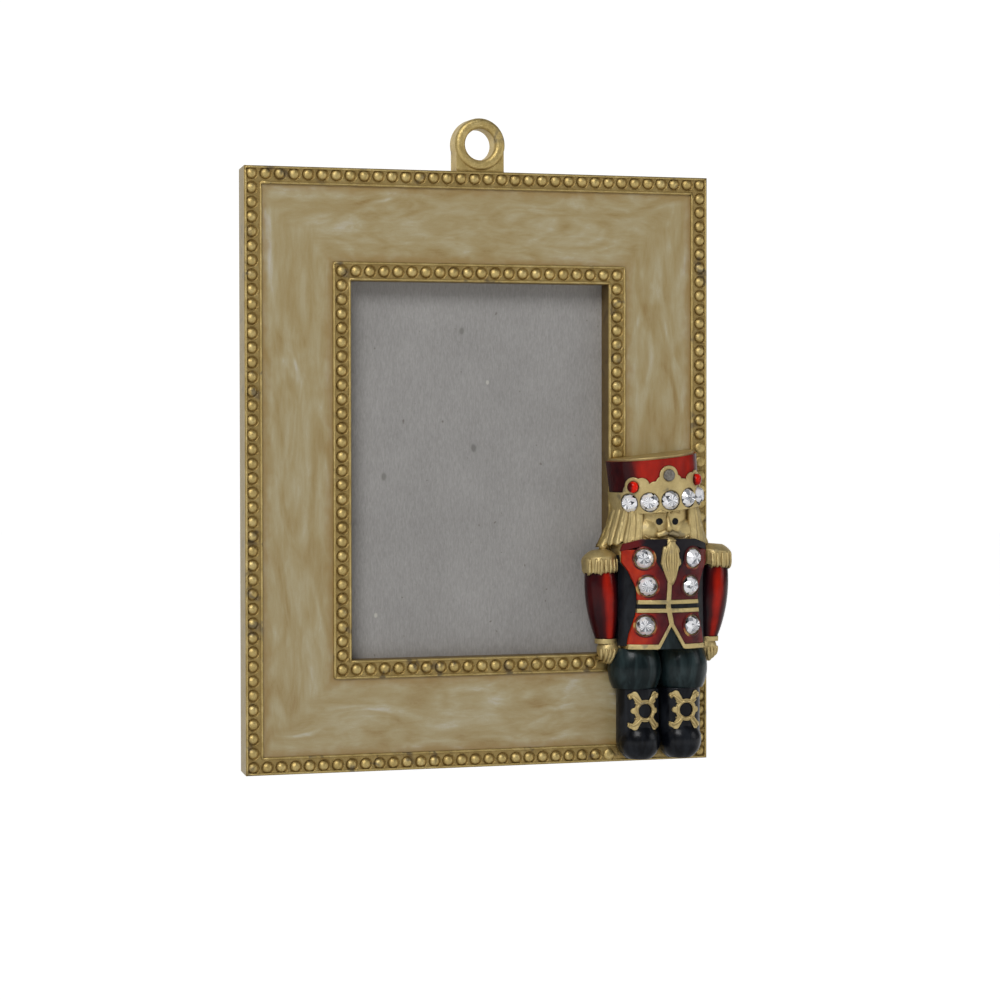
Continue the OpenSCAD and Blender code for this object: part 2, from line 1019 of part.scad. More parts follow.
casting();
field_enamel();
backing_card();
red() hat_enamel();
red() badge_dot(-1, 0.42);  // badge_drop_left
red() badge_dot(1, 0.42);  // badge_drop_right
black() badge_dot(0, 0.3);  // badge_cement
hat_stone(0);  // hat_stone_1
hat_stone(1);  // hat_stone_2
hat_stone(2);  // hat_stone_3
hat_stone(3);  // hat_stone_4
hat_stone(4);  // hat_stone_5
black() eye(-1);  // eye_left
black() eye(1);  // eye_right
black() collar_enamel(-1);  // collar_enamel_left
black() collar_enamel(1);  // collar_enamel_right
red() coat_enamel(-1, belt_z + belt_h - 0.1, 10.4);  // coat_upper_left
red() coat_enamel(1, belt_z + belt_h - 0.1, 10.4);  // coat_upper_right
red() coat_enamel(-1, 0.4, belt_z + 0.1);  // coat_lower_left
red() coat_enamel(1, 0.4, belt_z + 0.1);  // coat_lower_right
black() side_enamel(-1);  // side_enamel_left
black() side_enamel(1);  // side_enamel_right
black() vest_enamel();
black() belt_enamel(-1);  // belt_enamel_left
black() belt_enamel(1);  // belt_enamel_right
coat_stone(-1, 0);  // coat_stone_left_1
coat_stone(-1, 1);  // coat_stone_left_2
coat_stone(-1, 2);  // coat_stone_left_3
coat_stone(1, 0);  // coat_stone_right_1
coat_stone(1, 1);  // coat_stone_right_2
coat_stone(1, 2);  // coat_stone_right_3
red() sleeve_enamel(-1);  // sleeve_enamel_left
red() sleeve_enamel(1);  // sleeve_enamel_right
black() trouser_enamel();
black() boot_enamel(-1);  // boot_enamel_left
black() boot_enamel(1);  // boot_enamel_right
black() bow_drop(-1);  // bow_drop_left
black() bow_drop(1);  // bow_drop_right
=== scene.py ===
"""Looks for a miniature picture frame: gilt casting, pearl enamel rails, grey card and a toy soldier.

Everything is in metres in the row's frame: X to the viewer's right, -Y towards the viewer, Z up,
with the origin at the centre of the hanging loop's bore. Sizes are written in millimetres and
multiplied by MM.
"""
import json
import math
import random

import bmesh
import bpy
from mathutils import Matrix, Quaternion, Vector
from mathutils.bvhtree import BVHTree


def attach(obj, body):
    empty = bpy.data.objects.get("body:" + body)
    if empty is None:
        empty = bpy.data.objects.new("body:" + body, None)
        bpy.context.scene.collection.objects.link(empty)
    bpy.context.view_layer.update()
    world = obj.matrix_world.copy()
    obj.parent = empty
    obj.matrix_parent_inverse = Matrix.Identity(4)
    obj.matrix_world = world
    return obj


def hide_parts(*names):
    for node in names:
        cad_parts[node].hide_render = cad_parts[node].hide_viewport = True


MM = 0.001
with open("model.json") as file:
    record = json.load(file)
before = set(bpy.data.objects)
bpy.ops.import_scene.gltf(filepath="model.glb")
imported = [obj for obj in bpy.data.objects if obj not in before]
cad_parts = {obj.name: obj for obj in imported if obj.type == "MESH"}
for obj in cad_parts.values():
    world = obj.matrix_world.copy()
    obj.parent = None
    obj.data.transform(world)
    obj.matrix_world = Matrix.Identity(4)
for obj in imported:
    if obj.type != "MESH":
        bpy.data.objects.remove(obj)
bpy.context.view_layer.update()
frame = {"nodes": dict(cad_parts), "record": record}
random.seed(12)

# Sizes of the frame, in millimetres
FRAME_W = 50.0
FRAME_H = 61.2
LOOP_Z = 64.03
FRAME_MID_Z = FRAME_H / 2 - LOOP_Z
SOLDIER_X = 18.9
RIM_Y = -1.4
OUTER_STRIP = 1.8
INNER_STRIP = 1.9
WINDOW_W = 27.9
WINDOW_H = 38.5
BEAD_PITCH = 1.46
BEAD_PROUD = 0.2

# Camera, as the photograph was taken
AZIMUTH = math.radians(-18.8)
ELEVATION = math.radians(1.42)
ROLL = math.radians(-0.07)
DISTANCE = 299 * MM
TARGET = Vector((1.95, -1.4, -36.54)) * MM
LENS_MM = 104.4
SENSOR_MM = 36
NEAREST = 0.01
FARTHEST = 20

# The way into the picture, for rays that look for the casting
INWARD = Vector((0, 1, 0))

# The room's levels in front and behind, and how far back a direction points where it brightens
FRONT_LEVEL = 0.15
BACK_LEVEL = 1.05
BACK_FROM = 0.3
BACK_FULL = 0.85

# The floor, in metres, and its glow, which grows from near to far
FLOOR_Z = -0.25
FLOOR_RADIUS = 6
FLOOR_SIDES = 64
FLOOR_GLOW = 0.78
FLOOR_NEAR = 0.25
FLOOR_FAR = 0.8
WHITE = (1, 1, 1, 1)

# Soft boxes: name, place, size and power
LIGHT_AIM = (0, 0, -0.03)
LIGHTS = (
    ("key", (-0.32, -0.45, 0.4), 0.3, 3.1),
    ("side", (0.5, -0.3, 0.1), 0.25, 0.4),
)


def link(obj):
    """Puts a new object into the scene."""
    bpy.context.collection.objects.link(obj)
    return obj


def dress(obj, material):
    """Gives an object one material."""
    obj.data.materials.clear()
    obj.data.materials.append(material)


def round_turns(count):
    """Angles that divide a full turn evenly."""
    return [2 * math.pi * k / count for k in range(count)]


def camera():
    """The photograph's camera."""
    data = bpy.data.cameras.new("camera")
    data.lens = LENS_MM
    data.sensor_width = SENSOR_MM
    data.clip_start = NEAREST
    data.clip_end = FARTHEST
    obj = link(bpy.data.objects.new("camera", data))
    back = Vector((
        math.sin(AZIMUTH) * math.cos(ELEVATION),
        -math.cos(AZIMUTH) * math.cos(ELEVATION),
        math.sin(ELEVATION),
    ))
    obj.location = TARGET + DISTANCE * back
    obj.rotation_mode = "QUATERNION"
    roll = Quaternion((0, 0, 1), ROLL)
    obj.rotation_quaternion = (-back).to_track_quat("-Z", "Y") @ roll
    bpy.context.scene.camera = obj


def area_light(name, place, size, power):
    """A soft white box at place, in metres, that faces the object."""
    data = bpy.data.lights.new(name, "AREA")
    data.energy = power
    data.size = size
    obj = link(bpy.data.objects.new(name, data))
    obj.location = place
    obj.rotation_euler = (Vector(LIGHT_AIM) - Vector(place)).to_track_quat("-Z", "Y").to_euler()


class Graph:
    """Short names for the nodes that the materials below are made of."""

    def __init__(self, name):
        self.material = bpy.data.materials.new(name)
        self.material.use_nodes = True
        self.nodes = self.material.node_tree.nodes
        self.links = self.material.node_tree.links
        self.shader = self.nodes["Principled BSDF"]

    def new(self, kind, **settings):
        node = self.nodes.new(kind)
        for key, value in settings.items():
            setattr(node, key, value)
        return node

    def put(self, socket, value):
        """Sets a socket to a number or a colour, or links it to another socket."""
        if isinstance(value, bpy.types.NodeSocket):
            self.links.new(value, socket)
        else:
            socket.default_value = value

    def place_mm(self, scale=(1, 1, 1), offset=(0, 0, 0)):
        """The point on the object in millimetres, moved and stretched."""
        coordinates = self.new("ShaderNodeTexCoord")
        mapping = self.new("ShaderNodeMapping")
        self.links.new(coordinates.outputs["Object"], mapping.inputs["Vector"])
        mapping.inputs["Scale"].default_value = [1000 * s for s in scale]
        mapping.inputs["Location"].default_value = offset
        return mapping.outputs["Vector"]

    def noise(self, place, scale, detail=3.0, roughness=0.5, distortion=0.0):
        node = self.new("ShaderNodeTexNoise")
        self.put(node.inputs["Vector"], place)
        self.put(node.inputs["Scale"], scale)
        self.put(node.inputs["Detail"], detail)
        self.put(node.inputs["Roughness"], roughness)
        self.put(node.inputs["Distortion"], distortion)
        return node.outputs["Fac"]

    def math(self, operation, a, b=0.0):
        node = self.new("ShaderNodeMath", operation=operation)
        self.put(node.inputs[0], a)
        self.put(node.inputs[1], b)
        return node.outputs[0]

    def plus(self, a, b):
        return self.math("ADD", a, b)

    def minus(self, a, b):
        return self.math("SUBTRACT", a, b)

    def times(self, a, b):
        return self.math("MULTIPLY", a, b)

    def size_of(self, a):
        return self.math("ABSOLUTE", a)

    def swing(self, value, reach):
        """A noise of 0 to 1, moved to swing evenly about 0."""
        return self.times(self.minus(value, 0.5), reach)

    def ramp(self, value, *stops):
        """A smooth ramp of (position, colour) stops."""
        node = self.new("ShaderNodeValToRGB")
        self.put(node.inputs["Fac"], value)
        points = node.color_ramp.elements
        while len(points) < len(stops):
            points.new(0.5)
        for point, (position, colour) in zip(points, stops):
            point.position = position
            point.color = (*colour, 1)
        return node.outputs["Color"]

    def level(self, value, low, high):
        """0 below low, 1 above high."""
        node = self.new("ShaderNodeMapRange", interpolation_type="SMOOTHSTEP")
        self.put(node.inputs["Value"], value)
        node.inputs["From Min"].default_value = low
        node.inputs["From Max"].default_value = high
        return node.outputs["Result"]

    def mix(self, share, a, b):
        node = self.new("ShaderNodeMix", data_type="RGBA")
        self.put(node.inputs["Factor"], share)
        for socket, colour in ((node.inputs[6], a), (node.inputs[7], b)):
            linked = isinstance(colour, bpy.types.NodeSocket)
            self.put(socket, colour if linked else (*colour, 1))
        return node.outputs[2]

    def split(self, place):
        node = self.new("ShaderNodeSeparateXYZ")
        self.links.new(place, node.inputs[0])
        return node.outputs

    def object_normal(self):
        """The X, Y and Z of the surface's normal in the object's frame; Y is -1 where it faces the front."""
        return self.split(self.new("ShaderNodeTexCoord").outputs["Normal"])

    def soft_normal(self, radius_mm):
        """The surface's normal with its sharp edges rounded over, as on a worn casting."""
        node = self.new("ShaderNodeBevel", samples=6)
        node.inputs["Radius"].default_value = radius_mm * MM
        return node.outputs["Normal"]

    def occlusion(self, distance_mm):
        """1 in the open, towards 0 in hollows narrower than the distance."""
        node = self.new("ShaderNodeAmbientOcclusion", samples=8)
        node.inputs["Distance"].default_value = distance_mm * MM
        return node.outputs["AO"]

    def bump(self, height, depth_mm, strength=1.0, normal=None):
        node = self.new("ShaderNodeBump")
        self.put(node.inputs["Height"], height)
        node.inputs["Distance"].default_value = depth_mm * MM
        node.inputs["Strength"].default_value = strength
        if normal is not None:
            self.links.new(normal, node.inputs["Normal"])
        return node.outputs["Normal"]

    def finish(self, colour, roughness, normal=None, **settings):
        """Links the colour, the roughness and the normal, and sets the other sockets by name."""
        self.put(self.shader.inputs["Base Color"], colour)
        self.put(self.shader.inputs["Roughness"], roughness)
        if normal is not None:
            self.links.new(normal, self.shader.inputs["Normal"])
        for key, value in settings.items():
            socket = key.replace("_", " ").title().replace("Ior", "IOR")
            self.shader.inputs[socket].default_value = value
        return self.material


# Colours laid over the gilt: grey tarnish, painted shade and worn gold
TARNISH = (0.12, 0.1, 0.08)
WALL_SHADE_BROWN = (0.17, 0.1, 0.035)
STRIP_SHADE_BROWN = (0.2, 0.125, 0.04)
SIDE_SHADE_GREY = (0.2, 0.17, 0.12)
WORN_GOLD = (0.68, 0.58, 0.35)


def gilt():
    """Antique matte gold: paler on the proud parts, brown in the hollows by painted shade with some dark
    patina, grey on a few beads, and painted shade on walls, strip floors and sides.
    """
    g = Graph("gilt_metal")
    place = g.place_mm()
    # Painted shade, with some dark patina: the colour darkens in hollows by occlusion
    open_to_light = g.occlusion(0.35)
    cloud = g.noise(place, 0.9, 4, 0.6)
    grain = g.noise(place, 7.0, 4, 0.65)
    tone = g.plus(g.times(open_to_light, 0.5), g.times(cloud, 0.5))
    tone = g.plus(tone, g.swing(grain, 0.4))
    colour = g.ramp(
        tone,
        (0.3, (0.19, 0.12, 0.033)),
        (0.55, (0.375, 0.262, 0.09)),
        (0.75, (0.53, 0.4, 0.155)),
        (0.95, (0.7, 0.57, 0.28)),
    )
    # Grey tarnish in patches, kept off the back
    tarnish = g.level(g.noise(place, 0.42, 2, 0.5), 0.57, 0.66)
    tarnish = g.times(tarnish, g.level(g.noise(place, 1.1, 2, 0.5), 0.45, 0.6))
    _, facing, _ = g.object_normal()
    tarnish = g.times(tarnish, g.level(facing, 0.6, -0.2))
    colour = g.mix(g.times(tarnish, 0.7), colour, TARNISH)
    # Painted shade: brown on the window's walls, which stand in shadow
    x, y, z = g.split(place)
    in_width = g.level(g.size_of(x), WINDOW_W / 2 + 0.25, WINDOW_W / 2 + 0.05)
    from_middle = g.size_of(g.minus(z, FRAME_MID_Z))
    in_height = g.level(from_middle, WINDOW_H / 2 + 0.25, WINDOW_H / 2 + 0.05)
    behind = g.level(y, RIM_Y + 0.02, RIM_Y + 0.25)
    wall_shade = g.times(g.times(in_width, in_height), behind)
    colour = g.mix(g.times(wall_shade, 0.75), colour, WALL_SHADE_BROWN)
    # Painted shade: brown on the beaded strips' floor, shaded beside the beads
    floor = g.times(g.level(facing, -0.6, -0.9), g.level(y, RIM_Y - 0.07, RIM_Y - 0.01))
    floor = g.times(floor, g.level(from_middle, FRAME_H / 2 + 0.05, FRAME_H / 2))
    colour = g.mix(g.times(floor, 0.5), colour, STRIP_SHADE_BROWN)
    # Painted shade: grey-brown on the plate's shadowed sides
    side = g.level(g.size_of(x), FRAME_W / 2 - 0.3, FRAME_W / 2 - 0.22)
    side = g.times(side, g.level(y, RIM_Y + 0.05, RIM_Y + 0.2))
    side = g.times(side, g.level(facing, -0.8, -0.5))
    colour = g.mix(g.times(side, 0.65), colour, SIDE_SHADE_GREY)
    # Worn gold on what stands well in front of the rims
    proud = g.level(y, RIM_Y - 0.4, RIM_Y - 1.0)
    colour = g.mix(g.times(proud, 0.25), colour, WORN_GOLD)
    rough = g.plus(g.times(grain, 0.25), 0.36)
    normal = g.bump(grain, 0.04, 0.7, g.bump(cloud, 0.12, 0.6, g.soft_normal(0.14)))
    return g.finish(colour, rough, normal, metallic=0.9)


def pearl():
    """Pearl beige enamel, brushed along each rail, its pale and ochre streaks turned at the corners."""
    g = Graph("pearl_enamel")
    place = g.place_mm()
    x, _, z = g.split(place)
    across = g.size_of(x)
    along = g.size_of(g.minus(z, FRAME_MID_Z))
    from_side = g.minus(across, FRAME_W / 2)
    from_end = g.minus(along, FRAME_H / 2)
    wobble = g.swing(g.noise(place, 0.3, 2), 6.0)
    on_side = g.level(g.plus(g.minus(from_side, from_end), wobble), -1.6, 1.6)

    def streaks(along_scale, across_scale, offset):
        """Broad streaks with fine fibres in them, which are drawn out further."""
        stretched = g.place_mm(scale=(across_scale, 1, along_scale), offset=offset)
        broad = g.noise(stretched, 0.42, 2.5, 0.45, 2.2)
        fibres = g.place_mm(scale=(across_scale ** 1.35, 1, along_scale ** 1.35), offset=offset)
        fine = g.noise(fibres, 3.0, 5, 0.65, 0.8)
        return g.plus(g.times(broad, 0.68), g.times(fine, 0.32))

    flow = g.mix(on_side, streaks(0.75, 0.28, (3, 0, 1)), streaks(0.2, 0.75, (0, 0, 7)))
    grain = g.noise(place, 9.0, 2, 0.6)
    flow = g.plus(flow, g.swing(grain, 0.1))
    colour = g.ramp(
        flow,
        (0.28, (0.26, 0.17, 0.055)),
        (0.4, (0.31, 0.232, 0.1)),
        (0.5, (0.342, 0.272, 0.135)),
        (0.6, (0.38, 0.322, 0.19)),
        (0.74, (0.46, 0.43, 0.36)),
    )
    # Painted shade: darker ochre along both edges of the field, beside the raised strips
    to_outer = g.math(
        "MINIMUM",
        g.minus(FRAME_W / 2 - OUTER_STRIP, across),
        g.minus(FRAME_H / 2 - OUTER_STRIP, along),
    )
    to_inner = g.math(
        "MAXIMUM",
        g.minus(across, WINDOW_W / 2 + INNER_STRIP),
        g.minus(along, WINDOW_H / 2 + INNER_STRIP),
    )
    margin = g.math("MINIMUM", to_outer, to_inner)
    margin = g.plus(margin, g.swing(g.noise(place, 0.7, 3), 1.6))
    ochre = g.minus(1.0, g.level(margin, -0.1, 1.1))
    colour = g.mix(g.times(ochre, 0.7), colour, (0.27, 0.165, 0.045))
    normal = g.bump(g.noise(place, 0.5, 2), 0.12, 0.35)
    return g.finish(colour, 0.38, normal, coat_weight=0.2, coat_roughness=0.2)


# Larger specks on the card, higher than wide: X, Z and half the width in millimetres, and how pale
CARD_SPECKS = [
    (-0.2, -31.2, 0.4, 0.1),
    (-9.9, -34.1, 0.38, 0.13),
    (-1.5, -19.1, 0.34, 0.13),
    (-10.8, -48.3, 0.24, 0.58),
    (1.3, -24.4, 0.22, 0.56),
]
SPECK_SQUEEZE = 0.7


def card():
    """Grey board with fine fibres and a few specks."""
    g = Graph("grey_card")
    place = g.place_mm()
    fibres = g.noise(g.place_mm(scale=(3.2, 1, 0.8)), 2.2, 5, 0.7, 0.4)
    cloud = g.noise(place, 0.12, 3)
    tone = g.plus(g.times(fibres, 0.7), g.times(cloud, 0.3))
    colour = g.ramp(
        tone,
        (0.3, (0.22, 0.212, 0.205)),
        (0.5, (0.285, 0.277, 0.267)),
        (0.7, (0.35, 0.34, 0.33)),
    )
    dark = g.level(g.noise(place, 1.6, 1, 0.4), 0.74, 0.8)
    colour = g.mix(g.times(dark, 0.6), colour, (0.12, 0.1, 0.085))
    _, facing, _ = g.object_normal()
    on_front = g.math("LESS_THAN", facing, 0.0)
    for x, z, radius, pale in CARD_SPECKS:
        away = g.new("ShaderNodeVectorMath", operation="DISTANCE")
        g.links.new(g.place_mm(scale=(1, 0, SPECK_SQUEEZE)), away.inputs[0])
        away.inputs[1].default_value = (x, 0, SPECK_SQUEEZE * z)
        speck = g.times(g.level(away.outputs["Value"], radius, 0.4 * radius), on_front)
        colour = g.mix(g.times(speck, 0.55), colour, (pale, 0.96 * pale, 0.86 * pale))
    return g.finish(colour, 0.92, g.bump(fibres, 0.05, 0.5), specular_ior_level=0.2)


def red_enamel(name, bright, clear_and_lit_to, dark_and_shaded_from):
    """Deep transparent red over gold, with painted light and shade: clear and lit facing the front until it
    turns sideways by clear_and_lit_to, dark and shaded from dark_and_shaded_from, partly the enamel lying
    deeper at the sides, and painted shade in hollows.
    """
    g = Graph(name)
    place = g.place_mm()
    # Painted light and shade: bright where the surface faces the front, darker as it turns sideways, partly
    # the enamel lying deeper at the sides
    sideways, _, _ = g.object_normal()
    turned = g.size_of(g.minus(sideways, 0.05))
    clear = g.minus(1.0, g.level(turned, clear_and_lit_to, dark_and_shaded_from))
    cloud = g.noise(g.place_mm(scale=(1, 1, 0.45)), 0.8, 3)
    tone = g.plus(g.times(clear, 0.42), g.times(cloud, 0.45))
    # Painted shade: darker in hollows by occlusion
    tone = g.plus(tone, g.times(g.occlusion(1.0), 0.3))
    colour = g.ramp(
        tone,
        (0.42, (0.012 * bright, 0.002, 0.004)),
        (0.72, (0.08 * bright, 0.003, 0.003)),
        (1.0, (0.46 * bright, 0.013, 0.004)),
    )
    normal = g.bump(g.noise(place, 0.9, 2), 0.1, 0.4, g.soft_normal(0.15))
    return g.finish(colour, 0.22, normal, coat_weight=0.08, coat_roughness=0.1, specular_ior_level=0.1)


def coat_enamel():
    """The coat's red, with painted light: lit orange-red towards its left edge, dark maroon towards its
    middle and its right, with a little painted light at its right edge.
    """
    g = Graph("coat_enamel")
    place = g.place_mm()
    x, _, _ = g.split(place)
    across = g.minus(x, SOLDIER_X)
    # Painted light: lighter towards the coat's left edge and a little at its right edge
    lit = g.level(across, -0.7, -3.1)
    lit = g.plus(g.times(lit, 0.5), g.times(g.level(across, 2.6, 4.4), 0.2))
    cloud = g.noise(g.place_mm(scale=(1, 1, 0.6)), 0.9, 3)
    tone = g.plus(lit, g.times(cloud, 0.55))
    colour = g.ramp(
        tone,
        (0.18, (0.035, 0.003, 0.006)),
        (0.36, (0.1, 0.005, 0.006)),
        (0.66, (0.27, 0.011, 0.005)),
        (0.94, (0.52, 0.04, 0.008)),
    )
    normal = g.bump(g.noise(place, 0.9, 2), 0.14, 0.5, g.soft_normal(0.15))
    return g.finish(colour, 0.24, normal, coat_weight=0.12, coat_roughness=0.1, specular_ior_level=0.16)


def dull_skin(g, place, colour):
    """The soft, slightly uneven skin that the black enamels share."""
    normal = g.bump(g.noise(place, 0.8, 3), 0.16, 0.45, g.soft_normal(0.15))
    return g.finish(colour, 0.3, normal, coat_weight=0.08, coat_roughness=0.12, specular_ior_level=0.14)


def collar_enamel():
    """Black enamel that turns red where the collar meets the coat's left shoulder."""
    g = Graph("collar_enamel")
    place = g.place_mm()
    x, _, _ = g.split(place)
    blur = g.swing(g.noise(place, 0.9, 2), 1.2)
    across = g.plus(g.minus(x, SOLDIER_X), blur)
    colour = g.mix(g.level(across, -3.4, -2.5), (0.11, 0.006, 0.007), (0.009, 0.007, 0.01))
    return dull_skin(g, place, colour)


def cup_glaze():
    """Red enamel run over the gilt edge of a stone's cup, worn through to orange and gold."""
    g = Graph("cup_glaze")
    wear = g.noise(g.place_mm(), 0.8, 2, 0.4)
    colour = g.ramp(
        wear,
        (0.47, (0.06, 0.003, 0.003)),
        (0.56, (0.24, 0.02, 0.006)),
        (0.66, (0.45, 0.27, 0.08)),
    )
    return g.finish(colour, 0.3, g.bump(wear, 0.08, 0.4), specular_ior_level=0.3)


def dark_enamel(name, low, high):
    """Black or green-black enamel, streaked from low to high."""
    g = Graph(name)
    place = g.place_mm()
    streak = g.noise(g.place_mm(scale=(1.3, 1, 0.35)), 0.8, 3, 0.5, 0.6)
    colour = g.ramp(streak, (0.42, low), (0.66, high))
    return dull_skin(g, place, colour)


def crystal():
    """Foil-backed cut glass, its glints and reflections painted as bright and dark facets."""
    g = Graph("crystal")
    facet = g.new("ShaderNodeVertexColor", layer_name="facet").outputs["Color"]
    return g.finish(facet, 0.06, None, metallic=0.25, coat_weight=1.0, coat_roughness=0.02)


def cement():
    """Dull cement left in an empty cup."""
    g = Graph("old_cement")
    grain = g.noise(g.place_mm(), 3.0, 4, 0.7)
    colour = g.ramp(grain, (0.35, (0.09, 0.08, 0.065)), (0.65, (0.24, 0.22, 0.19)))
    return g.finish(colour, 0.8, g.bump(grain, 0.06, 0.6))


# Cut of a crystal, as shares of its radius and of its height above the girdle's foot
STONE_SHARE = 0.95
GIRDLE_TOP = 0.25
CROWN_RING = 0.86
CROWN_HEIGHT = 0.58
TABLE_RING = 0.62
TABLE_MIDDLE = 0.95
FACETS = 16
WEDGES = (0.0, 0.34, 0.5, 0.84, 1.0)
# Painted glints and reflections: the tones given to the facets
BRIGHT_GLINT = (0.97, 0.97, 0.98)
PALE_REFLECTION = (0.62, 0.63, 0.66)
GREY_REFLECTION = (0.3, 0.31, 0.33)
DARK_REFLECTION = (0.03, 0.03, 0.035)

# Shares of the facets painted bright, pale, grey and dark as glints and reflections
BREAK_SHARES = (6, 3, 1, 1)
CROWN_SHARES = (7, 2, 1, 0)
LIT_WEDGE = (9, 2, 0, 0)
DIM_WEDGE = (1, 1, 2, 4)

# How near two points count as one, and as the foot of a solid, in metres
WELD = 0.001 * MM
FOOT_BAND = 0.01 * MM


class Seat:
    """Where a round CAD solid sits: its foot, its axis, its radius and its height, in metres."""

    def __init__(self, node):
        solid = frame["nodes"][node]
        corners = [v.co.copy() for v in solid.data.vertices]
        self.outward = max(solid.data.polygons, key=lambda polygon: polygon.area).normal.copy()
        if self.outward.y > 0:
            self.outward = -self.outward
        depths = [c.dot(self.outward) for c in corners]
        foot = min(depths)
        ring = [c for c, depth in zip(corners, depths) if depth < foot + FOOT_BAND]
        self.base = sum(ring, Vector()) / len(ring)
        self.height = max(depths) - foot
        self.radius = max((c - self.base).length for c in ring)
        self.side = self.outward.cross(Vector((0, 0, 1))).normalized()
        self.up = self.side.cross(self.outward).normalized()

    def at(self, radius, height, angle):
        """The point at a radius and height above the foot, in metres, and an angle round the axis."""
        away = self.side * math.cos(angle) + self.up * math.sin(angle)
        return self.base + away * radius + self.outward * height


def cut_stone(node):
    """A cut crystal in place of a CAD stone: its crown, and the pavilion as seen through the table, with
    glints and reflections painted into its facets' colours.
    """
    seat = Seat(node)
    start = random.random()

    def at(share, level, turn):
        """A point by shares of the stone's radius and height, and a turn counted in facets."""
        angle = 2 * math.pi * (turn + start) / FACETS
        return seat.at(seat.radius * STONE_SHARE * share, seat.height * level, angle)

    mesh = bmesh.new()
    colours = mesh.loops.layers.color.new("facet")

    def face(points, tone):
        made = mesh.faces.new([mesh.verts.new(p) for p in points])
        for loop in made.loops:
            loop[colours] = (*tone, 1)

    def draw(shares):
        """One of the painted reflection tones from bright to dark, drawn by the given shares."""
        return random.choices((BRIGHT_GLINT, PALE_REFLECTION, GREY_REFLECTION, DARK_REFLECTION), shares)[0]

    face([at(1, 0, -k) for k in range(FACETS)], GREY_REFLECTION)
    middle = at(0, TABLE_MIDDLE, 0)
    for k in range(FACETS):
        face([at(1, 0, k), at(1, 0, k + 1), at(1, GIRDLE_TOP, k + 1), at(1, GIRDLE_TOP, k)], GREY_REFLECTION)
    for k in range(0, FACETS, 2):
        left, right = at(CROWN_RING, CROWN_HEIGHT, k - 1), at(CROWN_RING, CROWN_HEIGHT, k + 1)
        tip, after = at(TABLE_RING, 1, k), at(TABLE_RING, 1, k + 2)
        foot_line = [at(1, GIRDLE_TOP, k + i) for i in (-1, 0, 1)]
        face([foot_line[0], foot_line[1], left], draw(BREAK_SHARES))
        face([foot_line[1], foot_line[2], right], draw(BREAK_SHARES))
        face([foot_line[1], right, tip, left], draw(CROWN_SHARES))
        face([right, after, tip], draw(CROWN_SHARES))
        for i in range(len(WEDGES) - 1):
            points = [tip.lerp(after, WEDGES[i]), tip.lerp(after, WEDGES[i + 1])]
            face([middle, *points], draw(LIT_WEDGE if i % 2 == 0 else DIM_WEDGE))
    bmesh.ops.remove_doubles(mesh, verts=mesh.verts, dist=WELD)
    data = bpy.data.meshes.new("cut_" + node)
    mesh.to_mesh(data)
    mesh.free()
    obj = link(bpy.data.objects.new("cut_" + node, data))
    dress(obj, materials["crystal"])
    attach(obj, "root")
    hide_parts(node)


def add_piece(name, mesh, material):
    """Turns a bmesh in metres into a smooth piece that rides on the part."""
    bmesh.ops.recalc_face_normals(mesh, faces=mesh.faces)
    data = bpy.data.meshes.new(name)
    mesh.to_mesh(data)
    mesh.free()
    for polygon in data.polygons:
        polygon.use_smooth = True
    obj = link(bpy.data.objects.new(name, data))
    dress(obj, materials[material])
    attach(obj, "root")
    return obj


def loft(mesh, rings, closed_ends=False):
    """Joins rings of as many points each into a skin; a lone point closes an end."""
    made = [[mesh.verts.new(point) for point in ring] for ring in rings]
    for lower, upper in zip(made, made[1:]):
        for k in range(max(len(lower), len(upper))):
            after = k + 1
            corners = [lower[k % len(lower)], lower[after % len(lower)]]
            corners += [upper[after % len(upper)], upper[k % len(upper)]]
            mesh.faces.new(list(dict.fromkeys(corners)))
    if closed_ends:
        for ring in (made[0], made[-1]):
            if len(ring) > 2:
                mesh.faces.new(ring)


# Sections of what fills the badge's cups: radius and height, in millimetres
RED_DROP = [(0.6, 0.0), (0.6, 0.62), (0.57, 0.78), (0.46, 0.93), (0.26, 1.03), (0, 1.06)]
CEMENT_FILL = [(0.6, 0.0), (0.6, 0.6), (0.54, 0.72), (0.38, 0.76), (0.2, 0.72), (0, 0.74)]
CEMENT_ROUGH = 0.03
DROP_SIDES = 28


def drop(node, material, profile, rough=0.0):
    """A drop of enamel or cement in place of a CAD one, uneven by rough millimetres."""
    seat = Seat(node)
    turns = round_turns(DROP_SIDES)
    mesh = bmesh.new()
    rings = []
    for radius, height in profile:
        if radius == 0:
            rings.append([seat.at(0, height * MM, 0)])
        else:
            rings.append([
                seat.at(radius * MM, (height + random.uniform(-rough, rough)) * MM, turn)
                for turn in turns
            ])
    loft(mesh, rings, closed_ends=True)
    obj = add_piece("filled_" + node, mesh, material)
    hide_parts(node)


# The glaze over a cup's edge: share of the stone's radius and height over the metal, then its sides,
# where its rays start and the lowest that it reaches above the stone's foot, in millimetres
GLAZE_SECTION = ((1.05, 0.0), (1.07, 0.03), (1.14, 0.04), (1.21, 0.03), (1.26, -0.02))
GLAZE_SIDES = 36
GLAZE_PROBE = 3
GLAZE_FLOOR = 0.15


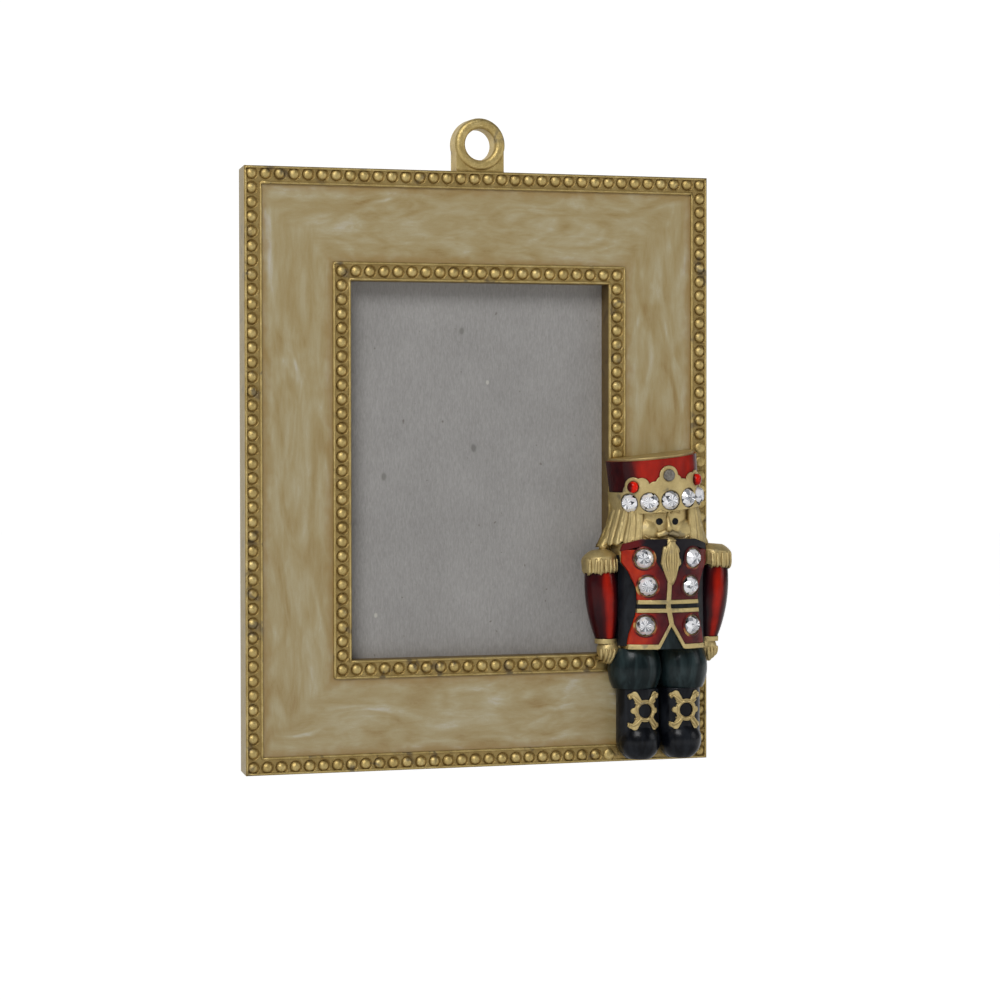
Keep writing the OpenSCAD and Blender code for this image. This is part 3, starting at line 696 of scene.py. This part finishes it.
def glazed_cups(tree):
    """Red enamel that has run over the cast edge of each coat stone's cup."""
    mesh = bmesh.new()
    for side in ("left", "right"):
        for row in (1, 2, 3):
            seat = Seat(f"coat_stone_{side}_{row}")
            rings = []
            for share, skin in GLAZE_SECTION:
                ring = []
                for turn in round_turns(GLAZE_SIDES):
                    start = seat.at(seat.radius * share, GLAZE_PROBE * MM, turn)
                    hit = tree.ray_cast(start, -seat.outward)[0]
                    floor = seat.at(seat.radius * share, GLAZE_FLOOR * MM, turn)
                    deep = hit is None or (hit - floor).dot(seat.outward) < 0
                    ring.append((floor if deep else hit) + seat.outward * (skin * MM))
                rings.append(ring)
            loft(mesh, rings)
    add_piece("glazed_cups", mesh, "cup_glaze")


# Half-round lines cast along the edges of both beaded strips, in millimetres
LINE_R = 0.13
LINE_SIDES = 10
LINE_STEP = 0.7
LINE_SUNK = 0.03
LINE_UNEVEN = (0.8, 1.08)
LINE_HALVES = (
    (FRAME_W / 2 - 0.15, FRAME_H / 2 - 0.15),
    (FRAME_W / 2 - OUTER_STRIP + 0.12, FRAME_H / 2 - OUTER_STRIP + 0.12),
    (WINDOW_W / 2 + INNER_STRIP - 0.14, WINDOW_H / 2 + INNER_STRIP - 0.14),
    (WINDOW_W / 2 + 0.15, WINDOW_H / 2 + 0.15),
)


def edge_lines():
    """The thin raised lines that close the beaded strips on both sides."""
    mesh = bmesh.new()
    for half_w, half_h in LINE_HALVES:
        corners = [(-half_w, -half_h), (half_w, -half_h), (half_w, half_h), (-half_w, half_h)]
        for first, last in zip(corners, corners[1:] + corners[:1]):
            steps = round(math.dist(first, last) / LINE_STEP)
            lying = last[1] == first[1]
            rings = []
            for i in range(steps + 1):
                t = i / steps
                x = first[0] + (last[0] - first[0]) * t
                z = first[1] + (last[1] - first[1]) * t + FRAME_MID_Z
                radius = LINE_R * random.uniform(*LINE_UNEVEN)
                ring = []
                for turn in round_turns(LINE_SIDES):
                    aside = radius * math.cos(turn)
                    depth = RIM_Y + LINE_SUNK + radius * math.sin(turn)
                    ring.append(Vector((x, depth, z + aside) if lying else (x + aside, depth, z)) * MM)
                rings.append(ring)
            loft(mesh, rings, closed_ends=True)
    add_piece("edge_lines", mesh, "gilt_metal")


# The head's axis, the foot of the face, and the hair's reach, radius and thickness, in millimetres
HEAD_Y = RIM_Y
FACE_Z = 23.0 - LOOP_Z
HAIR_FIRST = math.radians(35)
HAIR_LAST = math.radians(97)
HAIR_LENGTH = 3.75
HAIR_TOP = FACE_Z + HAIR_LENGTH
HAIR_RADIUS = 4.62
HAIR_THICK = 0.5
HAIR_ROWS = 40
HAIR_COLUMNS = 90
LOCKS = 6


def hair_point(side, u, fall, thickness):
    """A point of the hair: u runs from the face to the back, and fall from the hat down."""
    turn = HAIR_FIRST + (HAIR_LAST - HAIR_FIRST) * (u + 0.1 * math.sin(math.pi * u) * fall)
    sway = 0.16 * math.sin(4.2 * fall + 5 * u + side) + 0.3 * fall * fall
    wave = abs(math.sin(math.pi * (LOCKS * u + sway)))
    strands = abs(math.sin(math.pi * (3.1 * LOCKS * u + 1.5 * sway + 0.6 * math.sin(9 * u))))
    flare = HAIR_RADIUS + (0.2 + 1.4 * u ** 1.3) * fall ** 1.4
    edge = min(1.0, 8 * u, 8 * (1 - u), 0.55 + 3 * fall)
    radius = flare + edge * (0.22 * wave ** 0.7 + 0.07 * strands) - thickness
    return Vector((
        SOLDIER_X + side * radius * math.sin(turn),
        HEAD_Y - radius * math.cos(turn),
        HAIR_TOP - fall * (HAIR_LENGTH + 0.55 * u - 0.35 * (1 - wave) * fall),
    )) * MM


def hair_skin(mesh, side, thickness):
    """The grid of points that lies this far inside the locks' outer face."""
    return [
        [
            mesh.verts.new(hair_point(side, j / HAIR_COLUMNS, i / HAIR_ROWS, thickness))
            for j in range(HAIR_COLUMNS + 1)
        ]
        for i in range(HAIR_ROWS + 1)
    ]


def hair():
    """Wavy locks that fan out from under the hat, over the casting's plain strands."""
    rows, columns = HAIR_ROWS, HAIR_COLUMNS
    rim = [(0, j) for j in range(columns)] + [(i, columns) for i in range(rows)]
    rim += [(rows, j) for j in range(columns, 0, -1)] + [(i, 0) for i in range(rows, 0, -1)]
    for side, name in ((-1, "hair_left"), (1, "hair_right")):
        mesh = bmesh.new()
        outer = hair_skin(mesh, side, 0.0)
        inner = hair_skin(mesh, side, HAIR_THICK)
        for i in range(rows):
            for j in range(columns):
                for grid in (outer, inner):
                    mesh.faces.new([grid[i][j], grid[i][j + 1], grid[i + 1][j + 1], grid[i + 1][j]])
        for (i, j), (after_i, after_j) in zip(rim, rim[1:] + rim[:1]):
            mesh.faces.new((outer[i][j], outer[after_i][after_j], inner[after_i][after_j], inner[i][j]))
        add_piece(name, mesh, "gilt_metal")


def curve_point(points, t):
    """A point at t from 0 to 1 along the smooth curve of a list of points of any dimension."""
    count = len(points) - 1
    place = min(t * count, count - 1e-6)
    i = int(place)
    f = place - i
    before, first, last, after = (points[min(max(k, 0), count)] for k in (i - 1, i, i + 1, i + 2))
    return [
        0.5 * (2 * b + (c - a) * f + (2 * a - 5 * b + 4 * c - d) * f * f + (3 * b - a - 3 * c + d) * f ** 3)
        for a, b, c, d in zip(before, first, last, after)
    ]


# Raised strands: points and sides of each, where their rays start and their least radius in
# millimetres, and the fewest points that make one
STRAND_STEPS = 18
STRAND_SIDES = 10
STRAND_PROBE_Y = -30
STRAND_THIN = 0.03
STRAND_POINTS = 4


def relief(name, tree, strands):
    """Strands laid on the casting: each lists X from the soldier's middle, Z and radius, in millimetres."""
    mesh = bmesh.new()
    for strand in strands:
        spine = []
        for i in range(STRAND_STEPS + 1):
            across, z, radius = curve_point(strand, i / STRAND_STEPS)
            start = Vector((SOLDIER_X + across, STRAND_PROBE_Y, z)) * MM
            hit = tree.ray_cast(start, INWARD)[0]
            if hit is not None:
                spine.append((hit, max(radius, STRAND_THIN) * MM))
        if len(spine) < STRAND_POINTS:
            continue
        rings = []
        for i, (centre, radius) in enumerate(spine):
            along = (spine[min(i + 1, len(spine) - 1)][0] - spine[max(i - 1, 0)][0]).normalized()
            side = along.cross(INWARD).normalized()
            out = side.cross(along)
            rings.append([
                centre + side * (radius * math.cos(a)) + out * (radius * math.sin(a))
                for a in round_turns(STRAND_SIDES)
            ])
        loft(mesh, rings, closed_ends=True)
    add_piece(name, mesh, "gilt_metal")


# The beard's top and point, in millimetres, and its middle from the soldier's
BEARD_TOP = -40.85
BEARD_POINT = -45.75
BEARD_X = 0.15


def beard_strands():
    """Seven strands that part at the chin and meet in the beard's point."""
    strands = []
    for k in range(-3, 4):
        spread = 0.3 * k
        low = BEARD_POINT + 0.12 * abs(k) ** 1.5 + (0.15 if k % 2 else 0)
        thick = 0.16 - 0.012 * abs(k)
        strands.append([
            (0.12 + 0.05 * k, BEARD_TOP, 0.08),
            (BEARD_X + 0.75 * spread, BEARD_TOP - 0.9, thick),
            (BEARD_X + spread, BEARD_TOP - 2.0, thick),
            (BEARD_X + 0.62 * spread, BEARD_TOP - 3.4, thick * 0.8),
            (BEARD_X + 0.12 * spread, low, 0.04),
        ])
    return strands


# The boots' middles, the bows' height, the ends of a bow's four loops from its knot, half the width
# of a loop and the radius of the ring round the knot, in millimetres
LEG_X = 2.3
BOW_Z = 5.55 - LOOP_Z
BOW_ENDS = ((-1.5, 1.55), (1.35, 1.75), (-1.55, -1.6), (1.3, -1.75))
BOW_BEND = 0.22
KNOT_R = 0.92
KNOT_ARCS = 8


def bow_ridges():
    """The edges of the bows' loops and the rings round their knots, on both boots."""
    strands = []
    for leg in (-LEG_X, LEG_X):
        for away, rise in BOW_ENDS:
            for bend in (-BOW_BEND, BOW_BEND):
                strands.append([
                    (leg + 0.42 * away + bend, BOW_Z + 0.45 * rise, 0.1),
                    (leg + 0.75 * away + 1.3 * bend, BOW_Z + 0.75 * rise - 0.3 * bend, 0.14),
                    (leg + away + 0.6 * bend, BOW_Z + rise, 0.1),
                ])
        for turn in round_turns(KNOT_ARCS):
            after = turn + 2 * math.pi / KNOT_ARCS
            arc = []
            for a in (turn, (turn + after) / 2, after):
                thick = 0.06 + 0.07 * (0 < a - turn < 0.7)
                arc.append((leg + KNOT_R * math.cos(a), BOW_Z + KNOT_R * math.sin(a), thick))
            strands.append(arc)
    return strands


# The fringes: first and last X from the soldier's middle and top, then their pitch, in millimetres
FRINGES = ((-8.35, -4.85, -42.7), (5.6, 7.85, -42.2))
FRINGE_PITCH = 0.5


def epaulette_tongues():
    """The fringe that hangs over the shoulders."""
    strands = []
    for first, last, top in FRINGES:
        count = round((last - first) / FRINGE_PITCH)
        for k in range(count + 1):
            x = first + (last - first) * k / count
            length = 1.55 + 0.15 * math.sin(2.1 * k)
            strands.append([(x, top, 0.1), (x, top - 0.5 * length, 0.2), (x, top - length, 0.14)])
    return strands


# The hands' middles from the soldier's, in millimetres
HANDS_X = (-5.85, 5.9)


def fingers():
    """Four fingers on each closed hand."""
    strands = []
    for hand in HANDS_X:
        for k in range(4):
            x = hand - 0.66 + 0.44 * k
            strands.append([
                (x, -52.1, 0.14),
                (x + 0.1 * (1.5 - k), -52.9, 0.22),
                (x + 0.25 * (1.5 - k), -53.6 + 0.1 * abs(k - 1.5), 0.12),
            ])
    return strands


def features():
    """The long nose, the brows and the jaw."""
    return [
        [(-0.02, -37.9, 0.1), (-0.02, -38.7, 0.2), (-0.02, -39.5, 0.32), (-0.02, -39.75, 0.2)],
        [(-1.5, -37.95, 0.08), (-0.95, -37.75, 0.16), (-0.35, -37.95, 0.1)],
        [(0.35, -37.95, 0.1), (0.95, -37.75, 0.16), (1.5, -37.95, 0.08)],
        [(-2.5, -40.2, 0.1), (-1.9, -40.62, 0.17), (-1.0, -40.78, 0.15), (-0.3, -40.75, 0.08)],
        [(0.3, -40.75, 0.08), (1.0, -40.78, 0.15), (1.9, -40.62, 0.17), (2.5, -40.2, 0.1)],
    ]


# Where the outer beads sit in their strip, where the rays start and how far round a place they look,
# how near a height counts as a cast bead's or as bare strip, and how many sides have to be bare
BEAD_INSET = 0.42
BEAD_PROBE_Y = -50
BEAD_LOOK = 0.5
CAST_BAND = 0.04
BARE_BAND = 0.03
AROUND_BAND = 0.05
BARE_SIDES = 3


def bead_places(tree):
    """The beads' places in X and Z: those that the casting has, and those bare beside the soldier."""
    outer_inset = OUTER_STRIP * BEAD_INSET
    rows = [
        (FRAME_W / 2 - outer_inset, FRAME_H / 2 - outer_inset),
        ((WINDOW_W + INNER_STRIP) / 2, (WINDOW_H + INNER_STRIP) / 2),
    ]

    def depth(x, z):
        """How far the casting stands in front of the rims."""
        hit = tree.ray_cast(Vector((x, BEAD_PROBE_Y, z)) * MM, INWARD)[0]
        return None if hit is None else RIM_Y - hit.y / MM

    cast, bare = [], []
    for half_w, half_h in rows:
        across, along = round(2 * half_w / BEAD_PITCH), round(2 * half_h / BEAD_PITCH)
        places = []
        for i in range(across + 1):
            places += [(-half_w + 2 * half_w * i / across, z) for z in (-half_h, half_h)]
        for i in range(1, along):
            places += [(x, -half_h + 2 * half_h * i / along) for x in (-half_w, half_w)]
        for x, z in places:
            z += FRAME_MID_Z
            here = depth(x, z)
            if here is None:
                continue
            sides = ((1, 0), (-1, 0), (0, 1), (0, -1))
            around = [depth(x + BEAD_LOOK * a, z + BEAD_LOOK * b) for a, b in sides]
            open_sides = sum(d is not None and abs(d) < AROUND_BAND for d in around)
            if abs(here - BEAD_PROUD) < CAST_BAND:
                cast.append((x, z))
            elif abs(here) < BARE_BAND and open_sides >= BARE_SIDES:
                bare.append((x, z))
    return cast, bare


# Section of a bead, and of the metal between it and the next: radius, and depth behind the rims
BEAD_SECTION = [(0.6, 0.05), (0.59, -0.03), (0.53, -0.1), (0.41, -0.17), (0.24, -0.21), (0, -0.23)]
LIP_SECTION = [(0.53, 0.13), (0.6, 0.15), (0.655, 0.09), (0.685, -0.015), (0.715, -0.03), (0.745, 0.02)]
LIP_SIDES = 24
LIP_UNEVEN = 0.008


def bead_rings(mesh, x, z, section):
    """One turned shape round a bead's middle; a radius of 0 is its tip."""
    turns = round_turns(LIP_SIDES)
    rings = []
    for radius, depth in section:
        wide = radius + random.uniform(-LIP_UNEVEN, LIP_UNEVEN)
        if radius == 0:
            rings.append([Vector((x, RIM_Y + depth, z)) * MM])
            continue
        rings.append([
            Vector((x + wide * math.cos(turn), RIM_Y + depth, z + wide * math.sin(turn))) * MM
            for turn in turns
        ])
    loft(mesh, rings)


def beading(tree):
    """The fillet and the raised lip round each bead, and the last beads beside the soldier."""
    cast, bare = bead_places(tree)
    lips = bmesh.new()
    for x, z in cast + bare:
        bead_rings(lips, x, z, LIP_SECTION)
    add_piece("bead_lips", lips, "gilt_metal")
    beads = bmesh.new()
    for x, z in bare:
        bead_rings(beads, x, z, BEAD_SECTION)
    add_piece("last_beads", beads, "gilt_metal")


def room():
    """Light from all round, bright behind the object and dim in front, seen as plain white."""
    world = bpy.data.worlds.new("studio")
    bpy.context.scene.world = world
    world.use_nodes = True
    nodes, links = world.node_tree.nodes, world.node_tree.links
    direction = nodes.new("ShaderNodeTexCoord")
    axes = nodes.new("ShaderNodeSeparateXYZ")
    links.new(direction.outputs["Generated"], axes.inputs[0])
    behind = nodes.new("ShaderNodeMapRange")
    behind.interpolation_type = "SMOOTHSTEP"
    links.new(axes.outputs["Y"], behind.inputs["Value"])
    behind.inputs["From Min"].default_value = BACK_FROM
    behind.inputs["From Max"].default_value = BACK_FULL
    behind.inputs["To Min"].default_value = FRONT_LEVEL
    behind.inputs["To Max"].default_value = BACK_LEVEL
    seen = nodes.new("ShaderNodeMix")
    links.new(nodes.new("ShaderNodeLightPath").outputs["Is Camera Ray"], seen.inputs["Factor"])
    links.new(behind.outputs["Result"], seen.inputs["A"])
    seen.inputs["B"].default_value = BACK_LEVEL
    links.new(seen.outputs["Result"], nodes["Background"].inputs["Strength"])
    nodes["Background"].inputs["Color"].default_value = WHITE


def pale_floor():
    """A pale disc below the object that glows further out, so that it fades into the room."""
    disc = bmesh.new()
    bmesh.ops.create_circle(disc, cap_ends=True, segments=FLOOR_SIDES, radius=FLOOR_RADIUS)
    data = bpy.data.meshes.new("floor")
    disc.to_mesh(data)
    disc.free()
    floor = link(bpy.data.objects.new("floor", data))
    floor.location.z = FLOOR_Z
    white = Graph("white_floor")
    distance = white.new("ShaderNodeVectorMath", operation="LENGTH")
    white.links.new(white.new("ShaderNodeTexCoord").outputs["Object"], distance.inputs[0])
    far = white.level(distance.outputs["Value"], FLOOR_NEAR, FLOOR_FAR)
    white.finish((0.8, 0.8, 0.8, 1), 1.0, None, specular_ior_level=0.0)
    white.links.new(white.times(far, FLOOR_GLOW), white.shader.inputs["Emission Strength"])
    white.shader.inputs["Emission Color"].default_value = WHITE
    dress(floor, white.material)


def studio():
    """The room, the floor and the soft boxes."""
    room()
    pale_floor()
    for name, place, size, power in LIGHTS:
        area_light(name, place, size, power)


camera()
materials = {
    "gilt_metal": gilt(),
    "pearl_enamel": pearl(),
    "grey_card": card(),
    "red_enamel": red_enamel("red_enamel", 0.85, 0.04, 0.6),
    "red_drop": red_enamel("red_drop", 1.6, 0.4, 1.0),
    "hat_red": red_enamel("hat_red", 0.8, 0.5, 0.93),
    "cup_glaze": cup_glaze(),
    "coat_enamel": coat_enamel(),
    "collar_enamel": collar_enamel(),
    "black_enamel": dark_enamel("black_enamel", (0.002, 0.0025, 0.004), (0.011, 0.013, 0.017)),
    "green_black_enamel": dark_enamel("green_black_enamel", (0.004, 0.009, 0.01), (0.022, 0.036, 0.038)),
    "crystal": crystal(),
    "old_cement": cement(),
}
slots = {part["node"]: part["material_slot"] for part in frame["record"]["subparts"]}
for node, obj in frame["nodes"].items():
    if node.startswith("coat_") and slots[node] == "red_enamel":
        dress(obj, materials["coat_enamel"])
    elif node == "hat_enamel":
        dress(obj, materials["hat_red"])
    elif node.startswith("collar_"):
        dress(obj, materials["collar_enamel"])
    elif slots[node] != "crystal":
        dress(obj, materials[slots[node]])
for node, slot in slots.items():
    if slot == "crystal":
        cut_stone(node)
casting = BVHTree.FromObject(frame["nodes"]["casting"], bpy.context.evaluated_depsgraph_get())
beading(casting)
edge_lines()
glazed_cups(casting)
drop("badge_drop_left", "red_drop", RED_DROP)
drop("badge_drop_right", "red_drop", RED_DROP)
drop("badge_cement", "old_cement", CEMENT_FILL, rough=CEMENT_ROUGH)
hair()
relief("beard_strands", casting, beard_strands())
relief("bow_ridges", casting, bow_ridges())
relief("epaulette_tongues", casting, epaulette_tongues())
relief("fingers", casting, fingers())
relief("features", casting, features())
studio()
bpy.context.scene.view_settings.view_transform = "Standard"
